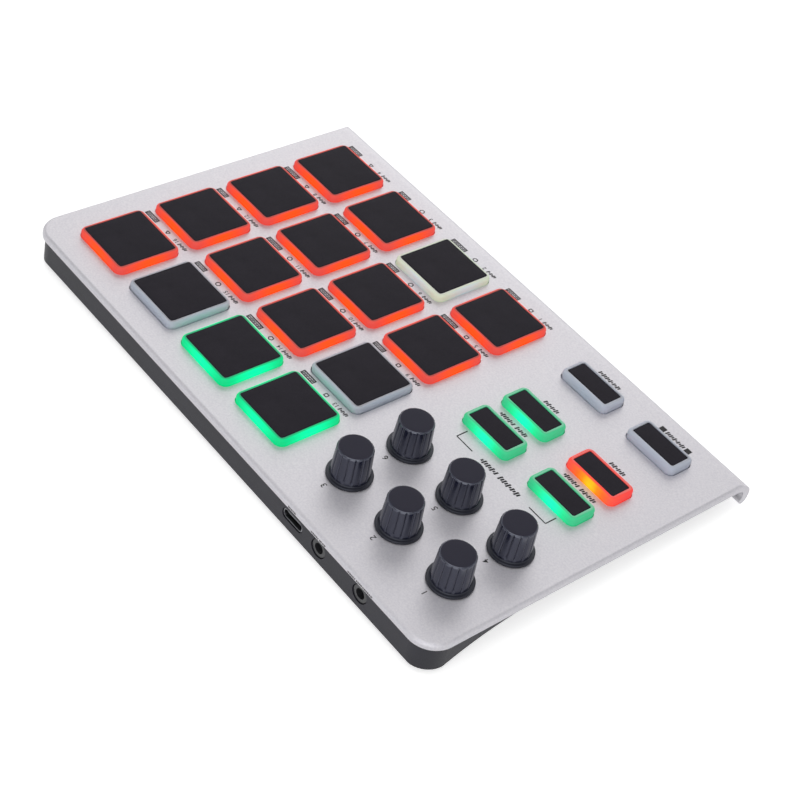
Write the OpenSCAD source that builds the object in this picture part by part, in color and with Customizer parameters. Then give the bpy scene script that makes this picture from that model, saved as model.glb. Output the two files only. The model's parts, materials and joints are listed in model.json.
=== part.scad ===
// Slim desktop pad controller: a sheet-metal deck with a rolled front lip, sixteen lit pads,
// six lit buttons and six endless knobs, on a shallow plastic case with a deeper rear end.
// All of it is drawn in the deck's own frame (top of the sheet at z = 0, rear towards +y),
// then tipped to stand on its rubber feet. Millimetres.

/* [Deck panel] */
// width of the metal deck, side to side
panel_w = 205; // [203:0.5:208]
// depth of the deck, from the front of the lip to the rear edge
panel_d = 134.6; // [134:0.2:138]
// thickness of the sheet
panel_t = 2.3; // [2:0.1:2.6]
// radius of the two rear corners, seen from above
panel_corner_r = 8.8; // [6.4:0.2:9.6]
// rounding of the upper edge along the sides and the rear
panel_edge_r = 1.2; // [0.8:0.1:1.6]
// rounding of the lower edge along the sides and the rear
panel_under_r = 0.3; // [0.2:0.05:0.5]
// outer radius of the rolled front lip
lip_r = 6; // [5.4:0.1:6.2]
// how far round the lip is rolled, in degrees
lip_turn = 110; // [95:1:118]
// thickness of the lip at its rolled end
lip_end_t = 3.3; // [2.6:0.1:3.6]

/* [Pads] */
// distance between pad centres
pad_pitch = 29; // [28.5:0.1:29.3]
// side of one pad where it meets the deck
pad_size = 24; // [23.5:0.1:24.4]
// corner radius of a pad, seen from above
pad_corner_r = 2.6; // [2:0.1:3.2]
// height of a pad above the deck
pad_h = 2.5; // [2.2:0.1:3.5]
// side of the dark square on a pad
pad_top_size = 20.9; // [20:0.1:21.4]
// from the deck's right edge to the nearest pad
pad_from_side = 10.9; // [10.6:0.1:11.4]
// from the deck's rear edge to the nearest pad
pad_from_rear = 10.4; // [9.8:0.1:11]
// diameter of the post under a pad that presses on its sensor
pad_post_d = 9; // [6:0.5:11]
// how far a pad goes down
pad_travel = 0.8; // [0.4:0.1:0.8]

/* [Buttons] */
// width of a button
button_w = 20.7; // [19.8:0.1:22]
// depth of a button, front to rear
button_d = 10.5; // [9.8:0.1:11]
// corner radius of a button, seen from above
button_corner_r = 2.1; // [1.6:0.1:2.6]
// height of a button above the deck
button_h = 2.9; // [2.4:0.1:4]
// width of the dark bar on a button
button_top_w = 17.9; // [17:0.1:18.2]
// depth of the dark bar on a button
button_top_d = 7.7; // [7:0.1:8]
// from the deck's left edge to the left buttons' centres
button_from_side = 25.3; // [24:0.1:27]
// between the two columns of buttons
button_column_gap = 30.7; // [29:0.1:32]
// from the front of the lip to the front buttons' centres
button_front = 18.5; // [17.5:0.1:20]
// from the front of the lip to the middle buttons' centres
button_middle = 44.8; // [43.5:0.1:45.2]
// from the front of the lip to the rear buttons' centres
button_rear = 61.3; // [60.6:0.1:62]
// diameter of the post under a button that presses on its dome
button_post_d = 3; // [2.4:0.1:3.4]
// how far a button goes down
button_travel = 0.8; // [0.4:0.1:0.8]

/* [Pads and buttons: soft parts] */
// rounding of the soft upper edges
soft_r = 1.2; // [0.8:0.1:1.3]
// gap between a pad or button and its hole in the deck
key_gap = 0.3; // [0.2:0.05:0.4]
// how far the hidden flange reaches out beyond the hole's key
key_flange = 1.2; // [0.8:0.1:1.3]
// thickness of the hidden flange
key_flange_t = 1; // [0.6:0.1:1]
// gap between the flange and the deck at rest
key_rest_gap = 0.05; // [0.02:0.01:0.1]
// wall of the hollow lit body
key_wall = 1.6; // [1.2:0.1:1.8]
// roof left over the hollow
key_roof_t = 0.7; // [0.5:0.1:0.8]
// thickness of the dark top piece
key_top_t = 0.8; // [0.5:0.1:0.9]
// how far the dark top piece stands out of the lit body
key_top_proud = 0.15; // [0.05:0.05:0.3]
// corner radius of the dark top piece
key_top_corner_r = 0.7; // [0.4:0.1:1]
// glue gap around the dark top piece
key_glue_gap = 0.05; // [0.02:0.01:0.1]

/* [Knobs] */
// from the deck's left edge to the first knob's axis
knob_from_side = 17.6; // [17:0.1:19]
// from the deck's rear edge to the rear row of knobs
knob_from_rear = 22.5; // [22.2:0.1:24]
// distance between neighbouring knobs, both ways
knob_pitch = 23.4; // [22:0.1:24.2]
// diameter of the disc at the foot of a knob
knob_disc_d = 14.2; // [13.6:0.1:15.5]
// thickness of that disc
knob_disc_t = 0.9; // [0.7:0.1:1.2]
// rounding of the disc's edge
knob_disc_r = 0.3; // [0.2:0.05:0.4]
// diameter of the grip just above the disc
knob_base_d = 12.3; // [12:0.1:13]
// diameter of the grip at its top
knob_top_d = 11.2; // [10:0.1:11.6]
// height of a knob's top above the deck
knob_h = 11.7; // [10:0.1:16]
// gap between a knob's disc and the deck
knob_lift = 0.3; // [0.2:0.1:1]
// rounding of a knob's top edge
knob_edge_r = 0.5; // [0.4:0.1:1]
// number of grip flutes
knob_flutes = 15; // [10:1:18]
// width of one flute at the grip's surface
flute_w = 0.9; // [0.5:0.05:1.1]
// depth of one flute
flute_depth = 0.3; // [0.2:0.05:0.4]
// diameter of the stem that turns in the encoder
stem_d = 5; // [4:0.1:6]
// running clearance around the stem in its encoder, on the radius
stem_gap = 0.05; // [0.02:0.01:0.1]
// clearance around the stem in the deck, on the radius
stem_hole_gap = 0.6; // [0.4:0.1:1]
// gap between the stem's end and the board
stem_end_gap = 0.2; // [0.1:0.05:0.4]
// side of a square encoder housing
encoder_w = 11; // [10:0.1:12]
// gap between an encoder housing and the deck
encoder_gap = 0.1; // [0.05:0.05:0.3]

/* [Circuit board] */
// depth of the board's upper face below the deck's top
board_depth = 4.9; // [4.8:0.1:5.3]
// thickness of the board
board_t = 1; // [0.8:0.1:1.6]
// room below the board for soldered pins
solder_room = 0.8; // [0.4:0.1:1.2]
// gap between the board's edge and the case
board_gap = 0.6; // [0.4:0.1:1]
// thickness of a pad's force sensor
sensor_t = 0.25; // [0.1:0.05:0.3]
// diameter of a pad's force sensor
sensor_d = 13; // [11:0.5:14]
// diameter of a button's snap dome
dome_d = 4; // [3.6:0.1:4.4]
// diameter of the flat on top of a snap dome
dome_top_d = 2; // [1.4:0.1:2.6]
// height of a button's snap dome
dome_h = 0.5; // [0.3:0.05:0.55]
// what is left between a post and what it presses, at the end of its travel
press_gap = 0.1; // [0.05:0.05:0.15]
// side of a light chip
light_w = 1.2; // [0.8:0.1:1.4]
// height of a light chip
light_h = 0.45; // [0.3:0.05:0.5]

/* [Rear sockets] */
// from the deck's left edge to the pedal jack
pedal_jack_from_side = 30.4; // [28:0.1:34]
// from the deck's left edge to the MIDI jack
midi_jack_from_side = 49.8; // [46:0.1:51]
// from the deck's left edge to the USB socket
usb_from_side = 62.3; // [61.5:0.1:66]
// depth of the sockets' axes below the deck's top
socket_depth = 6.4; // [6:0.1:6.6]
// bore of a jack socket
jack_bore_d = 3.6; // [3.5:0.05:3.7]
// outside of a jack's round nose
jack_nose_d = 5.8; // [5.2:0.1:6.2]
// width of a jack's body
jack_body_w = 6.4; // [6.2:0.1:7]
// height of a jack's body
jack_body_h = 4.6; // [4.4:0.1:4.8]
// length of a jack's body behind its nose
jack_body_l = 12; // [11:0.5:14]
// width of the USB shell, outside
usb_w = 8.94; // [8.8:0.02:9.1]
// height of the USB shell, outside
usb_h = 3.26; // [3.1:0.02:3.4]
// length of the USB shell
usb_l = 7.3; // [6.5:0.1:9]
// corner radius of the USB shell, outside
usb_corner_r = 1.4; // [1:0.05:1.5]
// sheet thickness of the USB shell
usb_wall = 0.3; // [0.2:0.02:0.35]
// thickness of the USB socket's closed back
usb_back_t = 1.2; // [0.8:0.1:1.6]
// width of the tongue in the USB socket
usb_tongue_w = 6.7; // [6.2:0.1:6.9]
// thickness of that tongue
usb_tongue_t = 0.7; // [0.5:0.05:0.8]
// how far the tongue stays behind the socket's mouth
usb_tongue_back = 0.9; // [0.5:0.1:1.5]
// how far a socket's side tabs reach onto the board
socket_tab = 1.2; // [0.8:0.1:1.6]
// thickness of a socket's side tabs
socket_tab_t = 0.45; // [0.3:0.05:0.6]
// gap between a socket and its notch in the board
notch_gap = 0.15; // [0.1:0.05:0.3]
// gap between a socket and its hole in the case
socket_gap = 0.3; // [0.2:0.05:0.4]

/* [Case] */
// how far the case's rim sits inside the deck's edge
case_inset = 1; // [0.8:0.1:1.5]
// thickness of the case's walls
case_wall = 1.6; // [1.4:0.1:2]
// thickness of the case's floor
floor_t = 1.4; // [1.2:0.1:2]
// thickness of the rim that runs under the deck
rim_t = 1.1; // [0.8:0.1:1.3]
// how far the pan's sides stand in from the deck's sides
pan_inset = 7; // [6:0.1:7.4]
// radius of the hollow sweep under both rear ends
sweep_r = 85.6; // [80:0.2:95]
// from the deck's rear edge to where that sweep starts
sweep_from_rear = 45.3; // [42:0.1:47]
// rounding along the rear bottom edge
keel_r = 0.5; // [0.3:0.1:1.5]

/* [Stance and fasteners] */
// how far the deck leans down towards the player, in degrees
deck_tilt = 1.75; // [1.4:0.05:2.2]
// height of a rubber foot
foot_h = 2; // [1.8:0.1:3]
// diameter of a rubber foot
foot_d = 10; // [8:0.5:12]
// from the pan's side and ends to a foot's centre
foot_from_edge = 9; // [8:0.5:12]
// diameter of a screw's shank
screw_d = 2; // [1.8:0.1:2.2]
// diameter of a screw's head
screw_head_d = 3.8; // [3.4:0.1:4.2]
// height of a screw's head
screw_head_h = 0.6; // [0.4:0.1:0.7]
// clearance around a screw, on the radius
screw_gap = 0.15; // [0.1:0.01:0.2]
// width of a screw's cross slot
screw_slot_w = 0.4; // [0.3:0.05:0.6]
// depth of a screw's cross slot
screw_slot_depth = 0.3; // [0.2:0.05:0.35]
// diameter of the threaded pillars under the deck
pillar_d = 4.5; // [4.2:0.1:4.8]
// gap between a threaded pillar and the flange of the pad beside it
pillar_gap = 1; // [0.5:0.1:3]
// wall around a screw's well in the case
well_wall = 1.2; // [1:0.1:1.6]

/* [Hidden] */
$fn = 64;
// how far cutters run past the face they open
over = 1;

// edges of the deck, and the line where its front starts to bend
right = panel_w / 2;
rear = panel_d / 2;
bend_y = -rear + lip_r;

// the lip grows thicker towards its end, so the circle inside it lies above the one outside it
lip_roll_in = lip_r - panel_t;
lip_end_in = lip_r - lip_end_t;
lip_off = (pow(lip_roll_in, 2) - pow(lip_end_in, 2)) / 2 / (lip_roll_in - lip_end_in * cos(lip_turn));
lip_in_r = lip_roll_in - lip_off;

// layout of pads, buttons and knobs
pad_cols = 4;
pad_rows = 4;
pads = pad_cols * pad_rows;
pad_x0 = right - pad_from_side - pad_size / 2 - (pad_cols - 1) * pad_pitch;
pad_y0 = rear - pad_from_rear - pad_size / 2 - (pad_rows - 1) * pad_pitch;
function pad_at(n) =
    [pad_x0 + ((n - 1) % pad_cols) * pad_pitch, pad_y0 + floor((n - 1) / pad_cols) * pad_pitch];
button_x = -right + button_from_side;
button_at = [for (y = [button_rear, button_middle, button_front], x = [0, button_column_gap])
    [button_x + x, -rear + y]];
knobs = 6;
function knob_at(n) =
    [-right + knob_from_side + ((n - 1) % 3) * knob_pitch,
     rear - knob_from_rear - floor((n - 1) / 3) * knob_pitch];

// heights in the deck's frame
key_flange_z = -(panel_t + key_rest_gap + key_flange_t);
board_z = -board_depth;
pad_post_z = board_z + sensor_t + pad_travel + press_gap;
button_post_z = board_z + dome_h + button_travel + press_gap;
encoder_h = board_depth - panel_t - encoder_gap;

// the case: rim outline, pan, board inside the pan
case_side = right - case_inset;
case_rear = rear - case_inset;
case_front = bend_y + case_inset;
case_corner_r = panel_corner_r - case_inset;
rear_in = case_rear - case_wall;
pan_side = right - pan_inset;
pan_front_in = min(pad_y0 - pad_size / 2, -rear + button_front - button_d / 2) - key_flange - board_gap;
pan_front = pan_front_in - case_wall;
board_side = pan_side - case_wall - board_gap;
board_front = pan_front_in + board_gap;
board_rear = rear_in - board_gap;

// stance: the board's front edge is what keeps the floor down
deck_h = foot_h + floor_t + solder_room
    - board_front * sin(deck_tilt) + (board_depth + board_t) * cos(deck_tilt);
front_reach = bend_y * cos(deck_tilt) + lip_r * sin(deck_tilt) - lip_r;
rear_reach = (rear - panel_under_r) * cos(deck_tilt) + (panel_t - panel_under_r) * sin(deck_tilt)
    + panel_under_r;
stance_y = -(front_reach + rear_reach) / 2;

// screws sit between the knobs, between the buttons, left of the pads and among the right-hand pads
gap_x = pad_x0 - pad_size / 2 - key_flange - pillar_gap - pillar_d / 2;
grid_x = pad_x0 + 2.5 * pad_pitch;
screw_at = [
    (knob_at(1) + knob_at(5)) / 2,
    (button_at[2] + button_at[5]) / 2,
    [gap_x, pad_y0 + 3 * pad_pitch],
    [gap_x, pad_y0],
    [grid_x, pad_y0 + 0.5 * pad_pitch],
    [grid_x, pad_y0 + 2.5 * pad_pitch]
];
screw_seat_z = -(board_depth + board_t) - floor_t;
well_r = screw_head_d / 2 + screw_gap + well_wall;

jack_x = [-right + pedal_jack_from_side, -right + midi_jack_from_side];
usb_x = -right + usb_from_side;

// which pads and buttons are lit, and how
green_pads = [13, 14];
plain_pads = [9, 15];
pale_pads = [2];
red_light = [0.95, 0.22, 0.1];
green_light = [0.1, 0.85, 0.5];
pale_light = [0.93, 0.91, 0.74];
no_light = [0.7, 0.74, 0.8];
function has(list, n) = len([for (i = list) if (i == n) i]) > 0;
function pad_light(n) =
    has(green_pads, n) ? green_light :
    has(plain_pads, n) ? no_light :
    has(pale_pads, n) ? pale_light : red_light;
button_light = [green_light, green_light, red_light, green_light, no_light, no_light];
near_black = [0.13, 0.13, 0.15];

// names of the nodes
function two_digits(n) = str(n < 10 ? "0" : "", n);
function pad_node(n) = str("pad_", two_digits(n));
function pad_top_node(n) = str("pad_top_", two_digits(n));
function knob_node(n) = str("knob_", n);
button_places = ["rear_left", "rear_right", "middle_left", "middle_right", "front_left", "front_right"];
function button_node(i) = str("button_", button_places[i]);
function button_top_node(i) = str("button_top_", button_places[i]);
buttons = len(button_places);

// shared shapes

// from the deck's frame to the way the part stands
module standing() {
    translate([0, stance_y, deck_h])
        rotate([deck_tilt, 0, 0])
            children();
}

// everything above a level that is parallel to the table, in the deck's frame
module above_table(level) {
    span = 2 * (panel_w + panel_d);
    rotate([-deck_tilt, 0, 0])
        translate([0, 0, level - deck_h])
            translate([-span / 2, -span / 2, 0])
                cube(span);
}

module rounded_rect(w, d, r) {
    square([w - 2 * r, d], center = true);
    square([w, d - 2 * r], center = true);
    for (x = [-1, 1], y = [-1, 1])
        translate([x * (w / 2 - r), y * (d / 2 - r)])
            circle(r);
}

// a rectangle whose rear corners are round
module rear_rounded(side, front, back, r) {
    translate([-side, front])
        square([2 * side, back - r - front]);
    translate([-side + r, front])
        square([2 * (side - r), back - front]);
    for (x = [-1, 1])
        translate([x * (side - r), back - r])
            circle(r);
}

// a side profile (y, z) drawn out along x
module along_x(length) {
    rotate([90, 0, 90])
        linear_extrude(length, center = true)
            children();
}

// a section (x, z) drawn out forwards from y
module forwards_from(y, length) {
    translate([0, y, 0])
        rotate([90, 0, 0])
            linear_extrude(length)
                children();
}

// what rounding a block's upper edges takes off; the block's top is at z = 0
module edge_waste(w, d, corner_r, edge_r) {
    module section() {
        difference() {
            square(edge_r + over);
            circle(edge_r);
        }
    }
    translate([0, 0, -edge_r]) {
        for (turn = [0, 180])
            rotate([0, 0, turn]) {
                translate([0, d / 2 - edge_r, 0])
                    along_x(w - 2 * corner_r)
                        section();
                translate([w / 2 - edge_r, 0, 0])
                    rotate([90, 0, 0])
                        linear_extrude(d - 2 * corner_r, center = true)
                            section();
            }
        for (i = [0:3])
            translate([(i == 0 || i == 3 ? 1 : -1) * (w / 2 - corner_r),
                       (i < 2 ? 1 : -1) * (d / 2 - corner_r), 0])
                rotate([0, 0, 90 * i])
                    rotate_extrude(angle = 90)
                        translate([corner_r - edge_r, 0])
                            section();
    }
}

// the metal deck

// the lip's side profile: the sheet rolled round its bend, with a rounded end
module lip_profile() {
    reach = 2 * lip_r;
    translate([bend_y, -lip_r]) {
        intersection() {
            difference() {
                circle(lip_r);
                translate([0, lip_off])
                    circle(lip_in_r);
            }
            polygon([[0, 0], [0, reach], [-reach, reach], [-reach, 0],
                     [reach * cos(90 + lip_turn), reach * sin(90 + lip_turn)]]);
        }
        rotate([0, 0, lip_turn])
            translate([0, lip_r - lip_end_t / 2])
                circle(lip_end_t / 2);
    }
}

// what rounding takes off the edges of the sides, the rear and the two corners
module panel_edge_waste() {
    module section(edge_r) {
        translate([-edge_r, -edge_r])
            difference() {
                square(edge_r + over);
                circle(edge_r);
            }
    }
    module round_three_sides(edge_r, front) {
        for (side = [0, 1])
            mirror([side, 0, 0]) {
                translate([right, rear - panel_corner_r, 0])
                    rotate([90, 0, 0])
                        linear_extrude(rear - panel_corner_r - front)
                            section(edge_r);
                translate([right - panel_corner_r, rear - panel_corner_r, 0])
                    rotate_extrude(angle = 90)
                        translate([panel_corner_r, 0])
                            section(edge_r);
            }
        translate([0, rear, 0])
            along_x(2 * (right - panel_corner_r))
                section(edge_r);
    }
    round_three_sides(panel_edge_r, bend_y - lip_r);
    translate([0, 0, -panel_t])
        mirror([0, 0, 1])
            round_three_sides(panel_under_r, bend_y);
}

module top_panel() {
    color([0.82, 0.83, 0.85])
        difference() {
            union() {
                translate([0, 0, -panel_t])
                    linear_extrude(panel_t)
                        rear_rounded(right, bend_y, rear, panel_corner_r);
                along_x(panel_w)
                    lip_profile();
                for (p = screw_at)
                    translate([p.x, p.y, board_z])
                        cylinder(d = pillar_d, h = board_depth - panel_t / 2);
            }
            panel_edge_waste();
            for (p = screw_at)
                translate([p.x, p.y, board_z - over])
                    cylinder(d = screw_d + 2 * screw_gap, h = board_depth - panel_t + over);
            translate([0, 0, -panel_t - over])
                linear_extrude(panel_t + 2 * over) {
                    for (n = [1:pads])
                        translate(pad_at(n))
                            rounded_rect(pad_size + 2 * key_gap, pad_size + 2 * key_gap,
                                         pad_corner_r + key_gap);
                    for (p = button_at)
                        translate(p)
                            rounded_rect(button_w + 2 * key_gap, button_d + 2 * key_gap,
                                         button_corner_r + key_gap);
                    for (n = [1:knobs])
                        translate(knob_at(n))
                            circle(d = stem_d + 2 * stem_hole_gap);
                }
        }
}

// pads and buttons

// the lit body of a pad or button: a soft hollow block with a hidden flange and a pressing post
module lit_body(w, d, corner_r, h, top_w, top_d, post_d, post_z) {
    pocket_z = h - key_top_t + key_top_proud;
    roof_z = pocket_z - key_roof_t;
    difference() {
        union() {
            translate([0, 0, key_flange_z])
                linear_extrude(h - key_flange_z)
                    rounded_rect(w, d, corner_r);
            translate([0, 0, key_flange_z])
                linear_extrude(key_flange_t)
                    rounded_rect(w + 2 * key_flange, d + 2 * key_flange, corner_r + key_flange);
        }
        translate([0, 0, h])
            edge_waste(w, d, corner_r, soft_r);
        translate([0, 0, pocket_z])
            linear_extrude(key_top_t)
                rounded_rect(top_w + 2 * key_glue_gap, top_d + 2 * key_glue_gap,
                             key_top_corner_r + key_glue_gap);
        translate([0, 0, key_flange_z - over])
            linear_extrude(roof_z - key_flange_z + over)
                rounded_rect(w - 2 * key_wall, d - 2 * key_wall, key_top_corner_r);
    }
    translate([0, 0, post_z])
        cylinder(d = post_d, h = roof_z + key_roof_t / 2 - post_z);
}

// the dark piece glued into the top of a pad or button
module dark_top(w, d, h) {
    color(near_black)
        translate([0, 0, h - key_top_t + key_top_proud])
            linear_extrude(key_top_t)
                rounded_rect(w, d, key_top_corner_r);
}

module pad(n) {
    color(pad_light(n))
        translate(pad_at(n))
            lit_body(pad_size, pad_size, pad_corner_r, pad_h,
                     pad_top_size, pad_top_size, pad_post_d, pad_post_z);
}

module pad_top(n) {
    translate(pad_at(n))
        dark_top(pad_top_size, pad_top_size, pad_h);
}

module button(i) {
    color(button_light[i])
        translate(button_at[i])
            lit_body(button_w, button_d, button_corner_r, button_h, button_top_w, button_top_d,
                     button_post_d, button_post_z);
}

module button_top(i) {
    translate(button_at[i])
        dark_top(button_top_w, button_top_d, button_h);
}

// knobs and their encoders

// half section of a knob: foot disc, tapered grip with a rounded top edge, stem
module knob_section() {
    disc_r = knob_disc_d / 2;
    disc_z = knob_lift + knob_disc_t;
    base_r = knob_base_d / 2;
    top_r = knob_top_d / 2;
    taper = atan((base_r - top_r) / (knob_h - disc_z));
    // centre of the circle that touches both the sloping side and the flat top
    edge_z = knob_h - knob_edge_r;
    edge_x = top_r + (knob_h - edge_z) * tan(taper) - knob_edge_r / cos(taper);
    polygon([[0, disc_z - knob_disc_t / 2], [base_r, disc_z - knob_disc_t / 2], [base_r, disc_z],
             [edge_x + knob_edge_r * cos(taper), edge_z + knob_edge_r * sin(taper)],
             [edge_x, knob_h], [0, knob_h]]);
    translate([edge_x, edge_z])
        circle(knob_edge_r);
    translate([0, knob_lift])
        square([disc_r - knob_disc_r, knob_disc_t]);
    translate([0, knob_lift + knob_disc_r])
        square([disc_r, knob_disc_t - 2 * knob_disc_r]);
    for (z = [knob_disc_r, knob_disc_t - knob_disc_r])
        translate([disc_r - knob_disc_r, knob_lift + z])
            circle(knob_disc_r);
    translate([0, board_z + stem_end_gap])
        square([stem_d / 2, knob_lift + knob_disc_t / 2 - board_z - stem_end_gap]);
}

module knob(n) {
    disc_z = knob_lift + knob_disc_t;
    taper = atan((knob_base_d - knob_top_d) / 2 / (knob_h - disc_z));
    // a V-shaped cut, run out past the surface at the same slope
    flute_spread = (over + flute_depth) * flute_w / 2 / flute_depth;
    color([0.16, 0.16, 0.18])
        translate(knob_at(n))
            difference() {
                rotate_extrude()
                    knob_section();
                for (i = [0:knob_flutes - 1])
                    rotate([0, 0, i * 360 / knob_flutes])
                        translate([knob_base_d / 2, 0, disc_z])
                            rotate([0, -taper, 0])
                                translate([0, 0, knob_edge_r])
                                    linear_extrude(knob_h)
                                        polygon([[-flute_depth, 0], [over, flute_spread],
                                                 [over, -flute_spread]]);
            }
}

module encoder_housings() {
    color([0.24, 0.3, 0.26])
        for (n = [1:knobs])
            translate([knob_at(n).x, knob_at(n).y, board_z])
                difference() {
                    linear_extrude(encoder_h)
                        square(encoder_w, center = true);
                    translate([0, 0, -over])
                        cylinder(d = stem_d + 2 * stem_gap, h = encoder_h + 2 * over);
                }
}

// the circuit board and what is soldered or glued to it

module circuit_board() {
    light_out = pad_size / 2 - key_wall - light_w;
    button_light_out = button_d / 2 - key_wall - light_w / 2 - key_gap / 2;
    color([0.1, 0.3, 0.2])
        union() {
            translate([0, 0, board_z - board_t])
                linear_extrude(board_t)
                    difference() {
                        translate([-board_side, board_front])
                            square([2 * board_side, board_rear - board_front]);
                        for (p = screw_at)
                            translate(p)
                                circle(d = screw_d + 2 * screw_gap);
                        for (x = jack_x)
                            translate([x - jack_body_w / 2 - notch_gap,
                                       rear_in - jack_body_l - socket_gap - notch_gap])
                                square([jack_body_w + 2 * notch_gap, jack_body_l + over]);
                        translate([usb_x - usb_w / 2 - notch_gap, case_rear - socket_gap - usb_l - notch_gap])
                            square([usb_w + 2 * notch_gap, usb_l + over]);
                    }
            for (n = [1:pads], turn = [0, 90, 180, 270])
                translate([pad_at(n).x, pad_at(n).y, board_z])
                    rotate([0, 0, turn])
                        translate([light_out, 0, 0])
                            light_chip();
            for (p = button_at)
                translate([p.x, p.y + button_light_out, board_z])
                    light_chip();
        }
}

module light_chip() {
    translate([-light_w / 2, -light_w / 2, -board_t / 2])
        cube([light_w, light_w, light_h + board_t / 2]);
}

module pad_sensors() {
    color([0.35, 0.3, 0.2])
        for (n = [1:pads])
            translate([pad_at(n).x, pad_at(n).y, board_z])
                cylinder(d = sensor_d, h = sensor_t);
}

module key_domes() {
    color([0.75, 0.75, 0.76])
        for (p = button_at)
            translate([p.x, p.y, board_z])
                cylinder(d1 = dome_d, d2 = dome_top_d, h = dome_h);
}

// tabs on both sides of a socket that rest on the board
module side_tabs(w, y, length) {
    translate([-w / 2 - socket_tab, y, board_z])
        cube([w + 2 * socket_tab, length, socket_tab_t]);
}

module jack_sockets() {
    body_rear = rear_in - socket_gap;
    nose_rear = case_rear - socket_gap;
    color([0.1, 0.1, 0.11])
        for (x = jack_x)
            translate([x, 0, 0])
                difference() {
                    union() {
                        translate([-jack_body_w / 2, body_rear - jack_body_l,
                                   -socket_depth - jack_body_h / 2])
                            cube([jack_body_w, jack_body_l, jack_body_h]);
                        translate([0, 0, -socket_depth])
                            forwards_from(nose_rear, case_wall + over)
                                circle(d = jack_nose_d);
                        side_tabs(jack_body_w, body_rear - jack_body_l, jack_body_l / 2);
                    }
                    translate([0, 0, -socket_depth])
                        forwards_from(case_rear + over, jack_body_l + over)
                            circle(d = jack_bore_d);
                }
}

module usb_socket() {
    mouth = case_rear - socket_gap;
    room_l = usb_l - usb_back_t;
    color([0.72, 0.73, 0.75])
        translate([usb_x, 0, 0]) {
            difference() {
                union() {
                    translate([0, 0, -socket_depth])
                        forwards_from(mouth, usb_l)
                            rounded_rect(usb_w, usb_h, usb_corner_r);
                    side_tabs(usb_w, mouth - usb_l, usb_back_t);
                }
                translate([0, 0, -socket_depth])
                    forwards_from(mouth + over, room_l + over)
                        rounded_rect(usb_w - 2 * usb_wall, usb_h - 2 * usb_wall, usb_corner_r - usb_wall);
            }
            translate([0, 0, -socket_depth])
                forwards_from(mouth - usb_tongue_back, usb_l - usb_tongue_back - usb_back_t / 2)
                    square([usb_tongue_w, usb_tongue_t], center = true);
        }
}

// the plastic case, its screws and its feet

// side profile of the rear ends: under the deck down to the hollow sweep
module sweep_profile(lift) {
    y0 = rear - sweep_from_rear;
    deep = 4 * panel_d;
    difference() {
        translate([y0, -panel_t - deep])
            square([case_rear - y0, deep]);
        translate([y0, -panel_t - rim_t - sweep_r])
            circle(sweep_r + lift);
        translate([y0, -panel_t - 2 * deep])
            square([case_rear - y0, 2 * deep - sweep_r]);
    }
}

// rounds the rear bottom edge off all that is below and behind it
module keel_waste() {
    rear_floor_z = (foot_h - deck_h - case_rear * sin(deck_tilt)) / cos(deck_tilt);
    translate([0, case_rear - keel_r, rear_floor_z + keel_r])
        along_x(panel_w)
            difference() {
                translate([0, -keel_r - over])
                    square([keel_r + over, keel_r + over]);
                circle(keel_r);
            }
}

module case_outside() {
    intersection() {
        translate([0, 0, -panel_t - panel_d])
            linear_extrude(panel_d)
                rear_rounded(case_side, case_front, case_rear, case_corner_r);
        above_table(foot_h);
        union() {
            translate([0, 0, -panel_t - rim_t])
                linear_extrude(rim_t)
                    rear_rounded(case_side, case_front, case_rear, case_corner_r);
            translate([-pan_side, pan_front, -panel_t - panel_d])
                cube([2 * pan_side, case_rear - pan_front, panel_d]);
            along_x(2 * case_side)
                sweep_profile(0);
        }
    }
}

module case_inside() {
    intersection() {
        above_table(foot_h + floor_t);
        union() {
            translate([-pan_side + case_wall, pan_front_in, -panel_d])
                cube([2 * (pan_side - case_wall), rear_in - pan_front_in, panel_d]);
            intersection() {
                along_x(2 * (case_side - case_wall))
                    sweep_profile(case_wall);
                translate([0, 0, -panel_d])
                    linear_extrude(panel_d)
                        rear_rounded(case_side - case_wall, case_front, rear_in, case_corner_r - case_wall);
            }
        }
    }
}

module bottom_case() {
    color([0.2, 0.2, 0.22])
        difference() {
            union() {
                difference() {
                    case_outside();
                    case_inside();
                }
                intersection() {
                    above_table(foot_h + floor_t / 2);
                    for (p = screw_at)
                        translate([p.x, p.y, board_z - board_t - panel_d])
                            cylinder(r = well_r, h = panel_d);
                }
            }
            keel_waste();
            for (p = screw_at) {
                translate([p.x, p.y, -panel_d])
                    cylinder(d = screw_d + 2 * screw_gap, h = panel_d);
                translate([p.x, p.y, screw_seat_z - panel_d])
                    cylinder(d = screw_head_d + 2 * screw_gap, h = panel_d);
            }
            for (x = jack_x)
                translate([x, 0, -socket_depth])
                    forwards_from(case_rear + over, case_wall + 2 * over)
                        circle(d = jack_nose_d + 2 * socket_gap);
            translate([usb_x, 0, -socket_depth])
                forwards_from(case_rear + over, case_wall + 2 * over)
                    rounded_rect(usb_w + 2 * socket_gap, usb_h + 2 * socket_gap, usb_corner_r + socket_gap);
        }
}

module case_screws() {
    shank_top = -panel_t - screw_gap;
    color([0.55, 0.56, 0.58])
        for (p = screw_at)
            translate([p.x, p.y, screw_seat_z])
                difference() {
                    union() {
                        cylinder(d = screw_d, h = shank_top - screw_seat_z);
                        translate([0, 0, -screw_head_h])
                            cylinder(d = screw_head_d, h = screw_head_h);
                    }
                    for (turn = [0, 90])
                        rotate([0, 0, turn])
                            translate([-screw_d / 2, -screw_slot_w / 2, -screw_head_h - over])
                                cube([screw_d, screw_slot_w, screw_slot_depth + over]);
                }
}

// stand straight on the table, under the pan's flat floor
module rubber_feet() {
    front_y = stance_y + pan_front + foot_from_edge;
    rear_y = stance_y + case_rear - foot_from_edge;
    color([0.08, 0.08, 0.09])
        for (x = [-1, 1], y = [front_y, rear_y])
            translate([x * (pan_side - foot_from_edge), y, 0])
                cylinder(d = foot_d, h = foot_h);
}

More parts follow.
